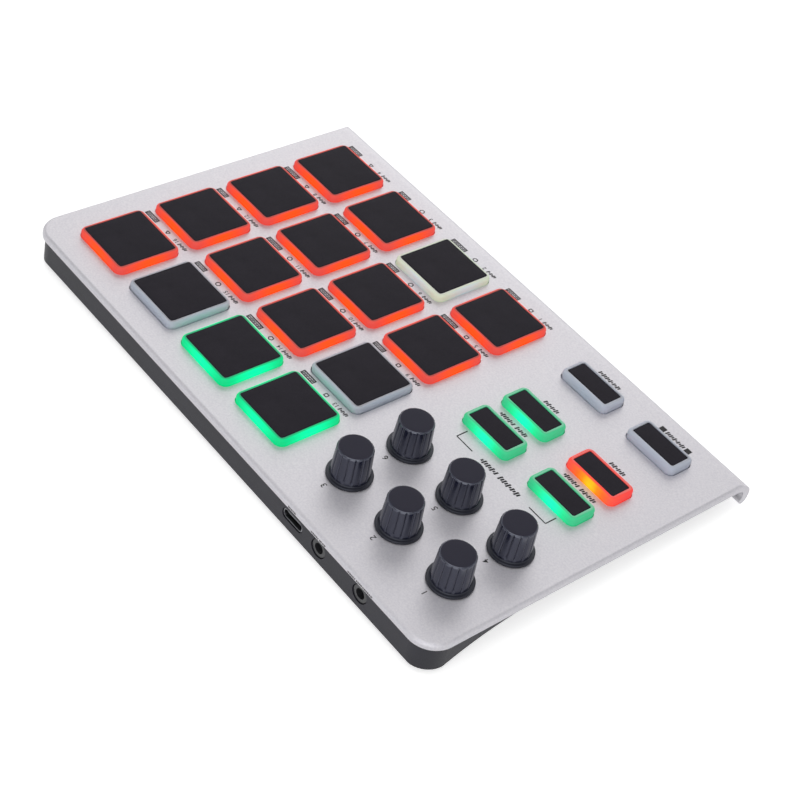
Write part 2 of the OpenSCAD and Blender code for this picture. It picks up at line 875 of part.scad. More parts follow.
// the assembly
standing() top_panel();
standing() bottom_case();
standing() circuit_board();
standing() pad_sensors();
standing() key_domes();
standing() encoder_housings();
standing() jack_sockets();
standing() usb_socket();
standing() case_screws();
rubber_feet();
for (n = [1:pads]) {
    standing() pad(n);
    standing() pad_top(n);
}
for (i = [0:buttons - 1]) {
    standing() button(i);
    standing() button_top(i);
}
for (n = [1:knobs])
    standing() knob(n);
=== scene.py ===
# Looks of a slim desktop pad controller: a silver sheet-metal deck with a rolled front lip, on a
# shallow black case, with sixteen lit pads, six lit buttons and six fluted knobs. Metres.
import json
import math

import bmesh
import bpy
from mathutils import Matrix, Vector


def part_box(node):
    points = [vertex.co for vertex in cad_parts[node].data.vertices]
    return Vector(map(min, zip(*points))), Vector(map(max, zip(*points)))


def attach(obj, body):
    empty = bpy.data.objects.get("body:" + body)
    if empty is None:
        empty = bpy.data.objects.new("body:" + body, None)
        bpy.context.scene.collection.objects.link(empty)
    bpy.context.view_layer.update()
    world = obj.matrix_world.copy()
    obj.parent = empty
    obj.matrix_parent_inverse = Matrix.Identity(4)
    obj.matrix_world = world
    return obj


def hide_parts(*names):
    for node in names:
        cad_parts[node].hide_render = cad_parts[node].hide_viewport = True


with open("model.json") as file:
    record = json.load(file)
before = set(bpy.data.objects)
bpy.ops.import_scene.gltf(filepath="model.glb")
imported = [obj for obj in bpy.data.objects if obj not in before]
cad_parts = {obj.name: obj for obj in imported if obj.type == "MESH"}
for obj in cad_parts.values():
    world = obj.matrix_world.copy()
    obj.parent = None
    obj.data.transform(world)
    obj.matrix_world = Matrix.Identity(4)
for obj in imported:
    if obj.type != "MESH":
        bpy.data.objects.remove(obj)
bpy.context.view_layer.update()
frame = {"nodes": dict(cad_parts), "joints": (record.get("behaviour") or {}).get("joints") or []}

# Case: a shallow tray of black ABS, injection moulded in a spark-eroded tool, so its skin is a fine
# even grain. The rear end is deeper to hold the sockets, and screws from below pull it to the deck.
mm = 0.001


def screen(red, green, blue):
    """A colour as a screen shows it, 0 to 255, as the linear light that shaders take."""
    def linear(level):
        level /= 255
        return level / 12.92 if level <= 0.04045 else ((level + 0.055) / 1.055) ** 2.4
    return (linear(red), linear(green), linear(blue), 1)


def feed(finish, made, inputs):
    """Sets a node's inputs, each to a plain value or to another node's output."""
    for socket, value in inputs.items():
        if isinstance(value, bpy.types.NodeSocket):
            finish.node_tree.links.new(value, made.inputs[socket])
        else:
            made.inputs[socket].default_value = value
    return made


def add(finish, kind, inputs=None, **settings):
    """Adds a shader node."""
    made = finish.node_tree.nodes.new("ShaderNode" + kind)
    for name, value in settings.items():
        setattr(made, name, value)
    return feed(finish, made, inputs or {})


def new_finish(name):
    """A new material and its shader."""
    finish = bpy.data.materials.new(name)
    finish.use_nodes = True
    return finish, finish.node_tree.nodes["Principled BSDF"]


def place(finish):
    """Where a point of the piece is, in the piece's own frame."""
    return add(finish, "TexCoord").outputs["Object"]


def speckle(finish, size, detail=2):
    """Even noise, 0 to 1, in spots of about that size."""
    spots = {"Vector": place(finish), "Scale": 1 / size, "Detail": detail}
    return add(finish, "TexNoise", spots).outputs["Fac"]


def scaled(finish, amount, low, high):
    """An amount from 0 to 1 as a number from low to high."""
    return add(finish, "MapRange", {"Value": amount, "To Min": low, "To Max": high}).outputs["Result"]


def tones(finish, amount, *stops):
    """A colour that follows an amount through stops, each a place from 0 to 1 and a colour."""
    band = add(finish, "ValToRGB", {"Fac": amount})
    marks = band.color_ramp.elements
    marks[0].position, marks[0].color = stops[0]
    marks[1].position, marks[1].color = stops[-1]
    for spot, colour in stops[1:-1]:
        marks.new(spot).color = colour
    return band.outputs["Color"]


def raised(finish, height, depth):
    """The surface with a fine relief of that depth."""
    return add(finish, "Bump", {"Height": height, "Distance": depth}).outputs["Normal"]


def dress(finish, *nodes):
    """Gives CAD nodes their finish."""
    for name in nodes:
        for holder in frame["nodes"][name].material_slots:
            holder.material = finish


case_plastic, shader = new_finish("case_plastic")
spark_grain = speckle(case_plastic, 0.3 * mm, 3)
flow_marks = speckle(case_plastic, 18 * mm)
feed(case_plastic, shader, {
    "Base Color": tones(case_plastic, flow_marks, (0.3, screen(27, 27, 35)), (0.7, screen(34, 33, 43))),
    "Roughness": scaled(case_plastic, spark_grain, 0.4, 0.62),
    "Specular IOR Level": 0.35,
    "Normal": raised(case_plastic, spark_grain, 0.03 * mm)})
dress(case_plastic, "bottom_case")

# Feet: four discs punched from black rubber sheet and glued under the corners of the case. They are
# dull, and dust clings to them.
foot_rubber, shader = new_finish("foot_rubber")
dust = speckle(foot_rubber, 1.2 * mm, 5)
feed(foot_rubber, shader, {
    "Base Color": tones(foot_rubber, dust, (0.4, screen(24, 24, 26)), (0.75, screen(48, 47, 46))),
    "Roughness": scaled(foot_rubber, dust, 0.75, 0.95),
    "Normal": raised(foot_rubber, dust, 0.04 * mm)})
dress(foot_rubber, "rubber_feet")

# Case screws: six small steel screws, cold headed and zinc plated, driven up from wells in the case's
# floor into threaded pillars under the deck.
screw_steel, shader = new_finish("screw_steel")
turning = speckle(screw_steel, 0.5 * mm, 4)
feed(screw_steel, shader, {
    "Base Color": tones(screw_steel, turning, (0.3, screen(140, 142, 146)), (0.7, screen(176, 177, 180))),
    "Metallic": 1.0,
    "Roughness": scaled(screw_steel, turning, 0.25, 0.42),
    "Normal": raised(screw_steel, turning, 0.008 * mm)})
dress(screw_steel, "case_screws")

# Circuit board: green glass-fibre laminate under the deck, with copper tracks under its varnish.
# It carries the light chips, force sensors, snap domes and encoders.
board_varnish, shader = new_finish("board_varnish")
track_w = 0.9 * mm
tracks = add(board_varnish, "TexBrick", {
    "Vector": place(board_varnish), "Scale": 1 / (8 * track_w), "Mortar Size": 0.04,
    "Color1": screen(18, 78, 50), "Color2": screen(20, 86, 54), "Mortar": screen(58, 128, 80)})
weave = speckle(board_varnish, 0.4 * mm)
feed(board_varnish, shader, {
    "Base Color": tracks.outputs["Color"],
    "Roughness": scaled(board_varnish, weave, 0.25, 0.4),
    "Normal": raised(board_varnish, tracks.outputs["Fac"], 0.03 * mm)})
dress(board_varnish, "circuit_board")

# Pad sensors: round films glued to the board, one under each pad's post. Carbon ink printed as a comb
# on amber film gives a lower resistance the harder the pad is pressed.
sensor_film, shader = new_finish("sensor_film")
comb = add(sensor_film, "TexWave", {"Vector": place(sensor_film), "Scale": 0.3 / mm}).outputs["Fac"]
feed(sensor_film, shader, {
    "Base Color": tones(sensor_film, comb, (0.35, screen(34, 32, 30)), (0.65, screen(150, 104, 48))),
    "Roughness": scaled(sensor_film, comb, 0.3, 0.55)})
dress(sensor_film, "pad_sensors")

# Snap domes: six discs pressed from thin spring steel, one taped to the board under each button. They
# are bright and slightly scuffed.
dome_steel, shader = new_finish("dome_steel")
scuffs = speckle(dome_steel, 0.25 * mm, 4)
feed(dome_steel, shader, {
    "Base Color": tones(dome_steel, scuffs, (0.3, screen(178, 178, 180)), (0.7, screen(208, 208, 210))),
    "Metallic": 1.0,
    "Roughness": scaled(dome_steel, scuffs, 0.16, 0.34)})
dress(dome_steel, "key_domes")

# Encoder housings: six low square blocks moulded in dark glass-filled nylon, soldered to the board.
# The stem of a knob turns in the hole through each.
encoder_nylon, shader = new_finish("encoder_nylon")
haze = speckle(encoder_nylon, 0.6 * mm, 3)
feed(encoder_nylon, shader, {
    "Base Color": tones(encoder_nylon, haze, (0.3, screen(44, 52, 47)), (0.7, screen(60, 70, 64))),
    "Roughness": scaled(encoder_nylon, haze, 0.45, 0.65)})
dress(encoder_nylon, "encoder_housings")

# Jack sockets: two bodies moulded in black nylon and soldered to the board, each with a round nose
# that reaches into a hole in the case's rear wall.
jack_nylon, shader = new_finish("jack_nylon")
rub = speckle(jack_nylon, 0.4 * mm, 3)
feed(jack_nylon, shader, {
    "Base Color": tones(jack_nylon, rub, (0.3, screen(40, 40, 43)), (0.7, screen(56, 56, 60))),
    "Roughness": scaled(jack_nylon, rub, 0.3, 0.46),
    "Normal": raised(jack_nylon, rub, 0.01 * mm)})
dress(jack_nylon, "jack_sockets")

# USB socket: a shell drawn from plated steel round a moulded tongue, soldered to the board. Its open
# end shows in a slot of the rear wall.
socket_steel, shader = new_finish("socket_steel")
plating = speckle(socket_steel, 0.35 * mm, 3)
feed(socket_steel, shader, {
    "Base Color": tones(socket_steel, plating, (0.3, screen(120, 121, 125)), (0.7, screen(146, 147, 151))),
    "Metallic": 1.0,
    "Roughness": scaled(socket_steel, plating, 0.28, 0.42)})
dress(socket_steel, "usb_socket")

# Deck: one thick sheet of aluminium, punched, with its edges rounded on three sides and its front rolled
# down to a lip, then blasted with fine glass beads and clear anodised. Satin, with no lines in it.
deck_aluminium, shader = new_finish("deck_aluminium")
blasting = speckle(deck_aluminium, 0.16 * mm, 2)
mottle = speckle(deck_aluminium, 0.6 * mm, 2)
feed(deck_aluminium, shader, {
    "Base Color": tones(deck_aluminium, mottle, (0.3, screen(200, 198, 205)), (0.7, screen(212, 210, 215))),
    "Metallic": 0.48,
    "Roughness": scaled(deck_aluminium, blasting, 0.4, 0.52),
    "Normal": raised(deck_aluminium, blasting, 0.004 * mm)})
dress(deck_aluminium, "top_panel")

# Printed marks: black ink screen-printed on the finished deck, two hundredths of a millimetre thick.
# Numbers at the knobs and pads, rows of strokes like a sound wave, a small polygon and a box at each pad,
# solid blocks at one button, and a bracket behind the two rear ones.
knob_turns = {j["child"]: j for j in frame["joints"] if j["type"] == "hinge"}
knob_names = sorted(knob_turns)
deck_up = Vector(knob_turns["knob_1"]["axis"])
deck_spot = Vector(knob_turns["knob_1"]["pos_m"])
deck_turn = Matrix.Rotation(math.atan2(-deck_up.y, deck_up.z), 4, "X")
pad_numbers = range(1, 17)
button_places = [f"{row}_{side}" for row in ("rear", "middle", "front") for side in ("left", "right")]


def standing_at(spot):
    """The deck's own frame, with its origin at a spot."""
    return Matrix.Translation(spot) @ deck_turn


def under(node):
    """The point of the deck's top face under the middle of a CAD node."""
    low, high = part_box(node)
    middle = (low + high) / 2
    return middle - deck_up * (middle - deck_spot).dot(deck_up)


ink_t = 0.02 * mm
ink = bmesh.new()


def print_figures(words, height, home, x, y):
    """Prints figures of that height, centred at x, y from a home frame on the deck."""
    cap_share, swell = 0.69, 0.01
    lettering = bpy.data.curves.new("figures", "FONT")
    lettering.body = words
    lettering.size = height / cap_share
    lettering.align_x, lettering.align_y = "CENTER", "CENTER"
    lettering.extrude = ink_t / 2
    lettering.offset = swell * height
    lettering.resolution_u = 4
    holder = bpy.data.objects.new("figures", lettering)
    bpy.context.scene.collection.objects.link(holder)
    bpy.context.view_layer.update()
    flat = bpy.data.meshes.new_from_object(holder.evaluated_get(bpy.context.evaluated_depsgraph_get()))
    flat.transform(home @ Matrix.Translation((x, y, ink_t / 2)))
    ink.from_mesh(flat)
    bpy.data.objects.remove(holder)


row_lean = 0.18


def print_bar(width, depth, home, x, y, lean=0.0):
    """Prints a solid bar, which may lean to the right like italics."""
    slope = Matrix.Shear("XZ", 4, (lean, 0)) if lean else Matrix()
    spot = home @ Matrix.Translation((x, y, ink_t / 2)) @ slope @ Matrix.Diagonal((width, depth, ink_t, 1))
    bmesh.ops.create_cube(ink, size=1, matrix=spot)


def print_row(words, height, home, x, y, anchor=0.5):
    """Prints groups of strokes of uneven height, like a sound wave; the anchor is the share left of x."""
    pitch, stroke, space = 0.46 * height, 0.33 * height, 0.55 * height
    wave = (0.7, 1, 0.5, 0.85, 0.4, 1, 0.6, 0.9)
    row_w = (2 * sum(words) - 1) * pitch + (len(words) - 1) * space + stroke
    run = x - anchor * row_w + stroke / 2
    for turn, letters in enumerate(words):
        for beat in range(2 * letters):
            print_bar(stroke, wave[(beat + 3 * turn) % len(wave)] * height, home, run, y, row_lean)
            run += pitch
        run += space
    return row_w


def print_frame(width, depth, line, home, x, y):
    """Prints the outline of a box."""
    for side in (-1, 1):
        print_bar(width, line, home, x, y + side * (depth - line) / 2)
        print_bar(line, depth - 2 * line, home, x + side * (width - line) / 2, y)


def print_polygon(sides, radius, line, home, x, y):
    """Prints the outline of a regular polygon."""
    side_w, apothem = 2 * radius * math.sin(math.pi / sides), radius * math.cos(math.pi / sides)
    for side in range(sides):
        turned = home @ Matrix.Translation((x, y, 0)) @ Matrix.Rotation(2 * math.pi * side / sides, 4, "Z")
        print_bar(side_w, line, turned, 0, -apothem)


knob_figure_h, knob_figure_right, knob_figure_behind = 2.0 * mm, 0.3 * mm, 9.25 * mm
for name in knob_names:
    print_figures(name.split("_")[1], knob_figure_h, standing_at(Vector(knob_turns[name]["pos_m"])),
                  knob_figure_right, knob_figure_behind)

pad_row_h, pad_row_y, pad_row_left, pad_row_right = 1.5 * mm, -14.7 * mm, -10.9 * mm, 11.9 * mm
pad_figure_gap, polygon_r, polygon_line, polygon_x = 1.7 * mm, 0.9 * mm, 0.36 * mm, -0.4 * mm
box_margin, box_d, box_line = 0.6 * mm, pad_row_h + 0.5 * mm, 0.45 * mm
boxed_row_h, boxed_row_right = 0.75 * pad_row_h, pad_row_right - box_margin
for number in pad_numbers:
    home = standing_at(under(f"pad_top_{number:02d}"))
    prefix_w = print_row((3,), pad_row_h, home, pad_row_left, pad_row_y, anchor=0)
    print_figures(str(number), pad_row_h, home, pad_row_left + prefix_w + pad_figure_gap, pad_row_y)
    print_polygon(3 + number % 4, polygon_r, polygon_line, home, polygon_x, pad_row_y)
    row_w = print_row((4 + number % 3,), boxed_row_h, home, boxed_row_right, pad_row_y, anchor=1)
    print_frame(row_w + 2 * box_margin, box_d, box_line, home, boxed_row_right - row_w / 2, pad_row_y)

button_row_h, button_row_x, button_row_y = 1.75 * mm, 0.4 * mm, -8.5 * mm
solid_w, solid_d, solid_out = 2.2 * mm, button_row_h + 0.3 * mm, 1.7 * mm
button_rows = dict(zip(button_places, ((4, 4), (3, 4), (4,), (4,), (5,), (6,))))
for spot, words in button_rows.items():
    home = standing_at(under(f"button_top_{spot}"))
    row_w = print_row(words, button_row_h, home, button_row_x, button_row_y)
    if spot == "front_left":
        for side in (-1, 1):
            print_bar(solid_w, solid_d, home, button_row_x + side * (row_w / 2 + solid_out), button_row_y)

bracket_behind, bracket_line = 11 * mm, 0.4 * mm
bracket_arm, bracket_leg, bracket_out = 7.4 * mm, 4.4 * mm, 5.2 * mm
bracket_row_h, bracket_row_x, bracket_row_y = 2.0 * mm, 0.5 * mm, bracket_behind - 0.3 * mm
for side, spot in ((-1, "rear_left"), (1, "rear_right")):
    home = standing_at(under(f"button_top_{spot}"))
    corner_x = side * bracket_out
    print_bar(bracket_arm, bracket_line, home, corner_x - side * bracket_arm / 2, bracket_behind)
    print_bar(bracket_line, bracket_leg, home, corner_x, bracket_behind - bracket_leg / 2)
home = standing_at((under("button_top_rear_left") + under("button_top_rear_right")) / 2)
print_row((5, 4), bracket_row_h, home, bracket_row_x, bracket_row_y)

rear_wall_behind, rear_row_z, rear_row_h = 22.5 * mm, -1.55 * mm, 0.8 * mm
rear_rows = ((12.8 * mm, (10, 5)), (32.2 * mm, (4, 5)), (44.7 * mm, (5,)))
for from_knob, words in rear_rows:
    home = (standing_at(deck_spot) @ Matrix.Translation((from_knob, rear_wall_behind, rear_row_z))
            @ Matrix.Rotation(-math.pi / 2, 4, "X"))
    print_row(words, rear_row_h, home, 0, 0)

ink_mesh = bpy.data.meshes.new("printed_marks")
bmesh.ops.recalc_face_normals(ink, faces=ink.faces)
ink.to_mesh(ink_mesh)
ink.free()
printed_marks = bpy.data.objects.new("printed_marks", ink_mesh)
bpy.context.scene.collection.objects.link(printed_marks)
print_ink, shader = new_finish("print_ink")
mesh_marks = speckle(print_ink, 0.12 * mm, 2)
feed(print_ink, shader, {
    "Base Color": tones(print_ink, mesh_marks, (0.3, screen(26, 25, 28)), (0.75, screen(52, 50, 54))),
    "Roughness": scaled(print_ink, mesh_marks, 0.5, 0.75),
    "Specular IOR Level": 0.3})
ink_mesh.materials.append(print_ink)
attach(printed_marks, "chassis")

# Pads: sixteen blocks of milky silicone, moulded hollow with a flange that keeps them under the deck
# and a post that presses the sensor. Chips inside light most of them; that light is painted on, as a glow
# and as a tint of the silicone's colour, brightest mid-way along each wall. The unlit ones follow the
# same painted map, so their rims are painted darker than their walls.
pad_w, pad_corner_r, pad_h = 24 * mm, 2.6 * mm, 2.5 * mm
pad_post_r, pad_post_z = 4.5 * mm, -3.75 * mm
soft_r, wall_bulge = 1.2 * mm, 0.06 * mm
flange_out, flange_low, flange_high = 1.2 * mm, -3.35 * mm, -2.35 * mm
hollow_wall, hollow_corner_r, roof_t = 1.6 * mm, 0.7 * mm, 0.7 * mm
inlay_t, pad_inlay_proud, inlay_corner_r, glue_gap = 0.8 * mm, 0.15 * mm, 0.7 * mm, 0.05 * mm
pad_inlay_w = 21.5 * mm
# Shares of the painted light left on the rim and at the corners, and the strength of the painted glow.
rim_fade, pad_rim_share, pad_corner_share, chip_power = 0.25 * mm, 0.15, 0.35, 1.25
milk_share, milk_spread, milk_depth = 0.3, (0.9, 0.9, 1.0), 1.5 * mm


def outline(width, depth, radius, z):
    """Points round a rectangle with round corners, at a height."""
    side_steps, corner_steps = 8, 7
    points = []
    for quarter in range(4):
        across, along = (width, depth) if quarter % 2 == 0 else (depth, width)
        turn = Matrix.Rotation(quarter * math.pi / 2, 3, "Z")
        straight = along / 2 - radius
        for step in range(side_steps):
            points.append(turn @ Vector((across / 2, straight * (2 * step / side_steps - 1), z)))
        for step in range(corner_steps):
            angle = math.pi / 2 * step / corner_steps
            points.append(turn @ Vector((across / 2 - radius + radius * math.cos(angle),
                                         straight + radius * math.sin(angle), z)))
    return points


def skin(name, rings, home, finish, crease=math.radians(40)):
    """A closed skin through rings of points, capped at both ends and put at a home frame."""
    shape = bmesh.new()
    rows = [[shape.verts.new(point) for point in ring] for ring in rings]
    for low, high in zip(rows, rows[1:]):
        for here in range(len(low)):
            after = (here + 1) % len(low)
            shape.faces.new((low[here], low[after], high[after], high[here]))
    shape.faces.new(reversed(rows[0]))
    shape.faces.new(rows[-1])
    bmesh.ops.recalc_face_normals(shape, faces=shape.faces)
    mesh = bpy.data.meshes.new(name)
    shape.to_mesh(mesh)
    shape.free()
    mesh.shade_smooth()
    mesh.set_sharp_from_angle(angle=crease)
    mesh.materials.append(finish)
    piece = bpy.data.objects.new(name, mesh)
    piece.matrix_world = home
    bpy.context.scene.collection.objects.link(piece)
    return piece


def lit_block(name, width, depth, corner_r, height, inlay, proud, post_r, post_z, home, finish):
    """The hollow silicone block of a pad or button: post, hollow, flange, walls, rim and pocket in turn."""
    pocket_z = height - inlay_t + proud
    roof_z = pocket_z - roof_t
    hollow = (width - 2 * hollow_wall, depth - 2 * hollow_wall, hollow_corner_r)
    roof = outline(*hollow, roof_z)
    post = [Vector((point.x, point.y, 0)).normalized() * post_r for point in roof]
    out = 2 * flange_out
    flange = (width + out, depth + out, corner_r + flange_out)
    rings = [[point + Vector((0, 0, z)) for point in post] for z in (post_z, roof_z)]
    rings += [roof, outline(*hollow, flange_low)]
    rings += [outline(*flange, flange_low), outline(*flange, flange_high)]
    wall_steps, round_steps = 6, 6
    wall_top = height - soft_r
    for step in range(wall_steps):
        z = flange_high + (wall_top - flange_high) * step / wall_steps
        bulge = 2 * wall_bulge * math.sin(math.pi * max(z, 0) / height)
        rings.append(outline(width + bulge, depth + bulge, corner_r + bulge / 2, z))
    for step in range(round_steps + 1):
        angle = math.pi / 2 * step / round_steps
        inset = soft_r * (1 - math.cos(angle))
        z = wall_top + soft_r * math.sin(angle)
        bulge = 2 * wall_bulge * math.sin(math.pi * z / height)
        rings.append(outline(width - 2 * inset + bulge, depth - 2 * inset + bulge, corner_r - inset, z))
    pocket = (inlay[0] + 2 * glue_gap, inlay[1] + 2 * glue_gap, inlay_corner_r + glue_gap)
    rings += [outline(*pocket, height), outline(*pocket, pocket_z)]
    return skin(name, rings, home, finish)


def split_axes(finish):
    """The three coordinates of a point of the piece."""
    return add(finish, "SeparateXYZ", {"Vector": place(finish)}).outputs


def maths(finish, operation, *values):
    """A sum done on numbers or on other nodes' outputs."""
    return add(finish, "Math", dict(enumerate(values)), operation=operation).outputs[0]


def ramp(finish, value, start, end, low, high, blend="SMOOTHSTEP"):
    """A number that goes from low to high while a value goes from start to end."""
    spans = {"Value": value, "From Min": start, "From Max": end, "To Min": low, "To Max": high}
    return add(finish, "MapRange", spans, interpolation_type=blend).outputs["Result"]


def below_rim(finish, height):
    """1 on a block's walls, falling to 0 on the flat rim round its top."""
    return ramp(finish, split_axes(finish)["Z"], height, height - rim_fade, 0, 1)


def pad_heat(finish):
    """A painted map of the chips' light, 0 to 1: least on the rim, most at the middle of each wall."""
    across, along = (maths(finish, "ABSOLUTE", split_axes(finish)[axis]) for axis in "XY")
    wall = ramp(finish, maths(finish, "MINIMUM", across, along), pad_w / 2, 0, pad_corner_share, 1)
    rim = scaled(finish, below_rim(finish, pad_h), pad_rim_share, 1)
    return maths(finish, "MULTIPLY", wall, rim)


def silicone(name, painted_light_of, painted_skin_tones, light_tones=None):
    """Milky moulded rubber whose colour is painted along a light map, with a painted glow where it has
    light tones.
    """
    finish, shader = new_finish(name)
    matting = speckle(finish, 0.35 * mm, 3)
    painted_light = painted_light_of(finish)
    # Painted light: the base colour is painted lighter or darker along the painted light map.
    feed(finish, shader, {
        "Base Color": tones(finish, painted_light, *painted_skin_tones),
        "Roughness": scaled(finish, matting, 0.42, 0.6),
        "Specular IOR Level": 0.2,
        "Normal": raised(finish, matting, 0.012 * mm)})
    # Painted glow: the chips' light as emission that follows the same painted map.
    if light_tones:
        feed(finish, shader, {
            "Emission Color": tones(finish, painted_light, *light_tones),
            "Emission Strength": chip_power})
    else:
        feed(finish, shader, {
            "Subsurface Weight": milk_share,
            "Subsurface Radius": milk_spread,
            "Subsurface Scale": milk_depth})
    return finish


# Skin tones are painted along the light map and light tones are the painted glow; the unlit skin is painted
# darker on the rim.
pad_finishes = {
    "lit_red": silicone(
        "pad_red", pad_heat,
        ((0, screen(140, 82, 76)), (0.35, screen(130, 60, 54)), (1, screen(126, 44, 22))),
        ((0, screen(90, 28, 24)), (0.35, screen(190, 56, 50)),
         (0.7, screen(216, 60, 28)), (1, screen(228, 70, 8)))),
    "lit_green": silicone(
        "pad_green", pad_heat,
        ((0, screen(60, 126, 104)), (0.35, screen(14, 130, 92)), (1, screen(4, 140, 100))),
        ((0, screen(0, 92, 62)), (0.35, screen(0, 176, 102)), (1, screen(0, 226, 150)))),
    "lit_pale": silicone(
        "pad_pale", pad_heat,
        ((0, screen(204, 204, 200)), (0.35, screen(200, 200, 186)), (1, screen(196, 200, 200))),
        ((0, screen(76, 78, 74)), (0.35, screen(112, 130, 106)), (1, screen(104, 128, 132)))),
    "unlit_silicone": silicone(
        "pad_unlit", pad_heat,
        ((0, screen(170, 168, 176)), (0.35, screen(196, 202, 214)), (1, screen(190, 198, 212)))),
}
pad_lights = {2: "lit_pale", 9: "unlit_silicone", 13: "lit_green", 14: "lit_green", 15: "unlit_silicone"}
for number in pad_numbers:
    light = pad_lights.get(number, "lit_red")
    pad = f"pad_{number:02d}"
    home = standing_at(under(f"pad_top_{number:02d}"))
    block = lit_block(f"silicone_{pad}", pad_w, pad_w, pad_corner_r, pad_h, (pad_inlay_w, pad_inlay_w),
                      pad_inlay_proud, pad_post_r, pad_post_z, home, pad_finishes[light])
    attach(block, pad)
    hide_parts(pad)

# Pad inlays: a square of dark grained rubber glued into the top of each pad, a little proud of it,
# with a broken edge and a faint crown.
inlay_edge_r, inlay_crown = 0.25 * mm, 0.05 * mm


def inlay_plate(name, width, depth, height, home, finish):
    """The dark plate in the top of a pad or button, with its own top at a height."""
    rings = [outline(width, depth, inlay_corner_r, height - inlay_t)]
    round_steps, crown_steps = 4, 5
    for step in range(round_steps + 1):
        angle = math.pi / 2 * step / round_steps
        inset = inlay_edge_r * (1 - math.cos(angle))
        rings.append(outline(width - 2 * inset, depth - 2 * inset, inlay_corner_r - inset,
                             height - inlay_crown - inlay_edge_r * (1 - math.sin(angle))))
    for step in range(1, crown_steps):
        share = 1 - step / crown_steps
        inset = inlay_edge_r + (1 - share) * (min(width, depth) / 2 - inlay_edge_r)
        rings.append(outline(width - 2 * inset, depth - 2 * inset, (inlay_corner_r - inlay_edge_r) * share,
                             height - inlay_crown * share ** 2))
    return skin(name, rings, home, finish)


inlay_rubber, shader = new_finish("inlay_rubber")
hide_grain = speckle(inlay_rubber, 0.45 * mm, 4)
handling = speckle(inlay_rubber, 6 * mm, 3)
feed(inlay_rubber, shader, {
    "Base Color": tones(inlay_rubber, handling, (0.3, screen(28, 25, 33)), (0.7, screen(34, 31, 39))),
    "Roughness": scaled(inlay_rubber, hide_grain, 0.6, 0.8),
    "Specular IOR Level": 0.15,
    "Normal": raised(inlay_rubber, hide_grain, 0.03 * mm)})
for number in pad_numbers:
    plate = inlay_plate(f"inlay_pad_{number:02d}", pad_inlay_w, pad_inlay_w, pad_h + pad_inlay_proud,
                        standing_at(under(f"pad_top_{number:02d}")), inlay_rubber)
    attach(plate, f"pad_{number:02d}")
    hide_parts(f"pad_top_{number:02d}")

# Buttons: six smaller blocks of the same silicone over snap domes, each with a dark top that lies just
# below its rim. One chip behind the rear wall lights each; its hot spot there and the light that fades to
# the front are painted on, as a glow and as a tint of the silicone's colour. The two front buttons are not
# lit, but follow the same painted map, so their rims are painted darker.
button_w, button_d, button_corner_r, button_h = 20.7 * mm, 10.5 * mm, 2.1 * mm, 2.9 * mm
button_post_r, button_post_z = 1.5 * mm, -3.5 * mm
button_inlay, button_inlay_proud = (17.9 * mm, 7.7 * mm), -0.1 * mm
# The painted hot spot of each button: its centre and reach, and the shares of painted light left on the rim
# and at the ends.
chip_spot, chip_reach = (-0.7 * mm, button_d / 2, 1.0 * mm), 12.5 * mm
button_rim_share, button_end_share = 0.4, 0.25


def button_heat(finish):
    """A painted map of the chip's light, 0 to 1: most in front of it, less towards ends and rim."""
    ends = {0: place(finish), 1: chip_spot}
    away = add(finish, "VectorMath", ends, operation="DISTANCE").outputs["Value"]
    wall = ramp(finish, away, chip_reach, 0, button_end_share, 1)
    rim = scaled(finish, below_rim(finish, button_h), button_rim_share, 1)
    return maths(finish, "MULTIPLY", wall, rim)


# Skin tones are painted along the chip's light map and light tones are the painted glow; the unlit skin is
# painted darker on the rim.
button_finishes = {
    "lit_green": silicone(
        "button_green", button_heat,
        ((0, screen(160, 184, 174)), (0.25, screen(80, 140, 112)), (1, screen(40, 150, 110))),
        ((0, screen(26, 101, 77)), (0.25, screen(20, 143, 92)), (0.42, screen(14, 158, 101)),
         (0.7, screen(0, 196, 120)), (1, screen(0, 228, 172)))),
    "lit_red": silicone(
        "button_red", button_heat,
        ((0, screen(196, 140, 134)), (0.25, screen(190, 66, 62)), (1, screen(190, 90, 30))),
        ((0, screen(114, 35, 30)), (0.25, screen(185, 45, 41)), (0.42, screen(201, 63, 46)),
         (0.7, screen(220, 87, 13)), (0.88, screen(236, 120, 3)), (1, screen(248, 178, 8)))),
    "unlit_silicone": silicone(
        "button_unlit", button_heat,
        ((0, screen(180, 182, 190)), (0.25, screen(198, 204, 218)), (1, screen(190, 200, 216)))),
}
button_lights = dict(zip(button_places, ("lit_green", "lit_green", "lit_red", "lit_green",
                                         "unlit_silicone", "unlit_silicone")))
for spot, light in button_lights.items():
    home = standing_at(under(f"button_top_{spot}"))
    block = lit_block(f"silicone_button_{spot}", button_w, button_d, button_corner_r, button_h,
                      button_inlay, button_inlay_proud, button_post_r, button_post_z,
                      home, button_finishes[light])
    plate = inlay_plate(f"inlay_button_{spot}", *button_inlay, button_h + button_inlay_proud,
                        home, inlay_rubber)
    parts = ((block, f"button_{spot}", light), (plate, f"button_top_{spot}", "dark_top"))
    for piece, stands_for, slot in parts:
        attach(piece, f"button_{spot}")
        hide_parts(stands_for)

# Knobs: six black ABS mouldings, each with a thin foot disc, a glossy tapered grip with soft flutes, a
# dull flat top and, in one piece with them, a stem that turns in its encoder.
knob_disc_r, disc_low, disc_high, disc_edge_r = 7.25 * mm, 0.15 * mm, 1.05 * mm, 0.25 * mm
grip_foot_r, grip_top_r, knob_top, grip_edge_r = 6.15 * mm, 5.6 * mm, 11.7 * mm, 0.7 * mm
stem_r, stem_end = 2.5 * mm, -4.7 * mm
flutes, flute_w, flute_depth, flute_from, flute_run = 15, 0.95 * mm, 0.3 * mm, 1.7 * mm, 0.6 * mm
foot_fillet_r, top_ring_r, top_margin = 0.35 * mm, 0.5 * grip_top_r, 0.03 * mm
knob_sheen = (0.84, 0.87, 1, 1)


def grip_side(z):
    """Radius of the tapered grip at a height, before its edges are rounded."""
    return grip_foot_r + (grip_top_r - grip_foot_r) * (z - disc_high) / (knob_top - disc_high)


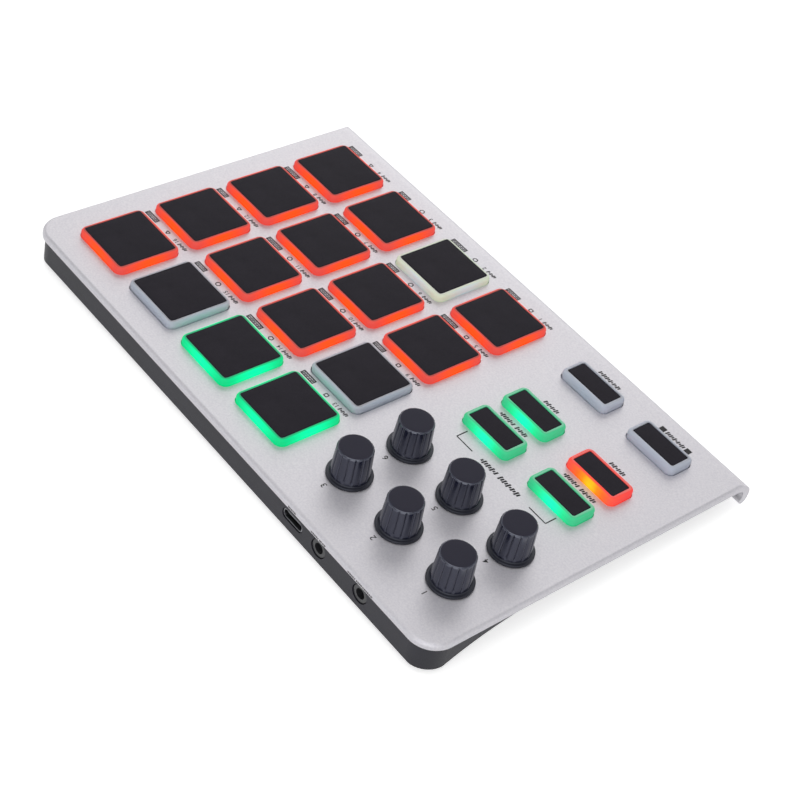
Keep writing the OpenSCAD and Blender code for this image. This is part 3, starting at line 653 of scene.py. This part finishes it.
def knob_ring(radius, z, fluted=False):
    """A ring round a knob; where it is fluted, the grip's flutes are cut into it."""
    flute_steps = 12
    points = []
    for step in range(flutes * flute_steps):
        angle = 2 * math.pi * step / (flutes * flute_steps)
        reach = radius
        if fluted:
            off = abs((step / flute_steps + 0.5) % 1 - 0.5) * 2 * math.pi / flutes * radius
            dip = 0.5 + 0.5 * math.cos(math.pi * min(off / (flute_w / 2), 1))
            start = min(max((z - flute_from) / flute_run, 0), 1)
            reach = min(radius, grip_side(z) - flute_depth * dip * start)
        points.append(Vector((reach * math.cos(angle), reach * math.sin(angle), z)))
    return points


def knob_rings():
    """A knob from the end of its stem up to its flat top."""
    edge_steps, grip_steps, shoulder_steps = 4, 22, 7
    rings = [knob_ring(stem_r, stem_end), knob_ring(stem_r, disc_low)]
    disc_flat = knob_disc_r - disc_edge_r
    for middle_z, first in ((disc_low + disc_edge_r, -90), (disc_high - disc_edge_r, 0)):
        for step in range(edge_steps + 1):
            angle = math.radians(first + 90 * step / edge_steps)
            rings.append(knob_ring(disc_flat + disc_edge_r * math.cos(angle),
                                   middle_z + disc_edge_r * math.sin(angle)))
    for step in range(edge_steps + 1):
        angle = math.radians(90 * step / edge_steps)
        z = disc_high + foot_fillet_r * (1 - math.cos(angle))
        rings.append(knob_ring(grip_side(z) + foot_fillet_r * (1 - math.sin(angle)), z))
    grip_low, grip_high = disc_high + foot_fillet_r, knob_top - grip_edge_r
    for step in range(1, grip_steps + 1):
        z = grip_low + (grip_high - grip_low) * step / grip_steps
        rings.append(knob_ring(grip_side(z), z, fluted=True))
    for step in range(1, shoulder_steps + 1):
        angle = math.radians(90 * step / shoulder_steps)
        z = grip_high + grip_edge_r * math.sin(angle)
        rings.append(knob_ring(grip_side(grip_high) - grip_edge_r * (1 - math.cos(angle)), z, fluted=True))
    rings.append(knob_ring(top_ring_r, knob_top))
    return rings


def knob_finish(name, dark, light, low, high, gloss):
    """Moulded black plastic with a fine skin."""
    finish, shader = new_finish(name)
    moulding = speckle(finish, 0.3 * mm, 3)
    feed(finish, shader, {
        "Base Color": tones(finish, moulding, (0.3, screen(*dark)), (0.7, screen(*light))),
        "Roughness": scaled(finish, moulding, low, high),
        "Specular IOR Level": gloss,
        "Specular Tint": knob_sheen,
        "Normal": raised(finish, moulding, 0.006 * mm)})
    return finish


grip_plastic = knob_finish("grip_plastic", (18, 21, 39), (24, 27, 47), 0.15, 0.24, 1.0)
top_plastic = knob_finish("top_plastic", (26, 24, 36), (32, 30, 44), 0.6, 0.75, 0.3)
# Painted shade: the foot is the same plastic as the grip, painted darker to stand for the shade round the
# knob's base.
shaded_foot_plastic = knob_finish("shaded_foot_plastic", (11, 12, 22), (16, 17, 28), 0.35, 0.5, 0.5)
top_index, foot_index = 1, 2
for name in knob_names:
    grip = skin(f"grip_{name}", knob_rings(), standing_at(Vector(knob_turns[name]["pos_m"])), grip_plastic)
    grip.data.materials.append(top_plastic)
    grip.data.materials.append(shaded_foot_plastic)
    for face in grip.data.polygons:
        if face.center.z > knob_top - top_margin:
            face.material_index = top_index
        elif face.center.z < disc_high + foot_fillet_r:
            face.material_index = foot_index
    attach(grip, name)
    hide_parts(name)

# Studio: a white floor that keeps a faint shadow, a white backdrop and three soft lights: a broad one
# from the front right, a small one overhead and a wide one from the camera's side. Gloss also mirrors a
# sky that is brighter low down, with a pale panel on the camera's side.
floor_side, floor_gap, floor_glow = 6.0, 0.05 * mm, 0.65
sheet = bmesh.new()
bmesh.ops.create_grid(sheet, x_segments=1, y_segments=1, size=floor_side / 2)
floor_mesh = bpy.data.meshes.new("floor")
sheet.to_mesh(floor_mesh)
sheet.free()
floor = bpy.data.objects.new("floor", floor_mesh)
floor.location.z = -floor_gap
bpy.context.scene.collection.objects.link(floor)


def seen_directly(finish):
    """1 for what the camera sees, itself or in a gloss or through glass, and 0 for light that falls."""
    rays = add(finish, "LightPath").outputs
    seen = rays["Is Camera Ray"]
    for kind in ("Is Glossy Ray", "Is Transmission Ray"):
        seen = maths(finish, "MAXIMUM", seen, rays[kind])
    return seen


def either(finish, share, none, full):
    """One number where a share is 0, and another where it is 1."""
    return add(finish, "Mix", {"Factor": share, "A": none, "B": full}).outputs["Result"]


floor_paper, shader = new_finish("floor_paper")
feed(floor_paper, shader, {
    "Base Color": (0.8, 0.8, 0.8, 1),
    "Roughness": 0.9,
    "Specular IOR Level": 0.0,
    "Emission Color": (1, 1, 1, 1),
    "Emission Strength": scaled(floor_paper, seen_directly(floor_paper), 0.0, floor_glow)})
floor_mesh.materials.append(floor_paper)

studio = bpy.data.worlds.new("studio")
studio.use_nodes = True
horizon_span, low_sky, high_sky = (0.1, 0.45), 1.25, 0.95
zenith_span, zenith_share = (0.3, 0.9), 0.55
panel_way, panel_span, panel_power = Vector((-0.7, 0.4, 0.6)).normalized(), (0.84, 0.93), 0.5
backdrop_span, backdrop_low, fallen_power = (0.0, 0.2), 0.94, 0.34
towards = add(studio, "TexCoord").outputs["Generated"]
height = add(studio, "SeparateXYZ", {"Vector": towards}).outputs["Z"]
facing = add(studio, "VectorMath", {0: towards, 1: panel_way}, operation="DOT_PRODUCT").outputs["Value"]
rays = add(studio, "LightPath").outputs
horizon = ramp(studio, height, *horizon_span, low_sky, high_sky, "LINEAR")
zenith = ramp(studio, height, *zenith_span, 1, zenith_share)
panel = ramp(studio, facing, *panel_span, 0, panel_power)
mirrored = maths(studio, "ADD", maths(studio, "MULTIPLY", horizon, zenith), panel)
fallen = either(studio, rays["Is Glossy Ray"], fallen_power, mirrored)
backdrop = ramp(studio, height, *backdrop_span, backdrop_low, 1, "LINEAR")
feed(studio, studio.node_tree.nodes["Background"], {
    "Color": (1, 1, 1, 1),
    "Strength": either(studio, rays["Is Camera Ray"], fallen, backdrop)})
bpy.context.scene.world = studio


def soft_light(name, spot, side, power, tint=(1, 1, 1)):
    """A square soft light at a spot, turned to the object."""
    lamp = bpy.data.lights.new(name, "AREA")
    lamp.size, lamp.energy, lamp.color = side, power, tint
    holder = bpy.data.objects.new(name, lamp)
    holder.location = spot
    holder.rotation_mode = "QUATERNION"
    holder.rotation_quaternion = (-Vector(spot)).to_track_quat("-Z", "Y")
    bpy.context.scene.collection.objects.link(holder)


soft_light("front_right_light", spot=(0.98, -1.06, 0.83), side=1.25, power=6.2, tint=(1, 0.985, 0.955))
soft_light("overhead_light", spot=(-0.08, 0.1, 0.62), side=0.45, power=1.1)
soft_light("camera_side_light", spot=(-0.55, 0.8, 0.5), side=0.9, power=2.6)

# Camera: a long lens where the photograph was taken from, above the rear left corner, looking down at
# the middle of the deck and turned a little on its own axis.
camera_spot, camera_aim = Vector((-0.29396, 0.31604, 0.40196)), Vector((-0.02042, 0.01069, 0.01212))
camera_roll, camera_lens = math.radians(13.22), 82.31
lens = bpy.data.cameras.new("camera")
lens.lens, lens.sensor_width = camera_lens, 36
lens.clip_start, lens.clip_end = 0.01, 20
camera = bpy.data.objects.new("camera", lens)
level = (camera_aim - camera_spot).to_track_quat("-Z", "Y").to_matrix().to_4x4()
camera.matrix_world = Matrix.Translation(camera_spot) @ level @ Matrix.Rotation(camera_roll, 4, "Z")
bpy.context.scene.collection.objects.link(camera)
bpy.context.scene.camera = camera
bpy.context.scene.view_settings.view_transform = "Standard"
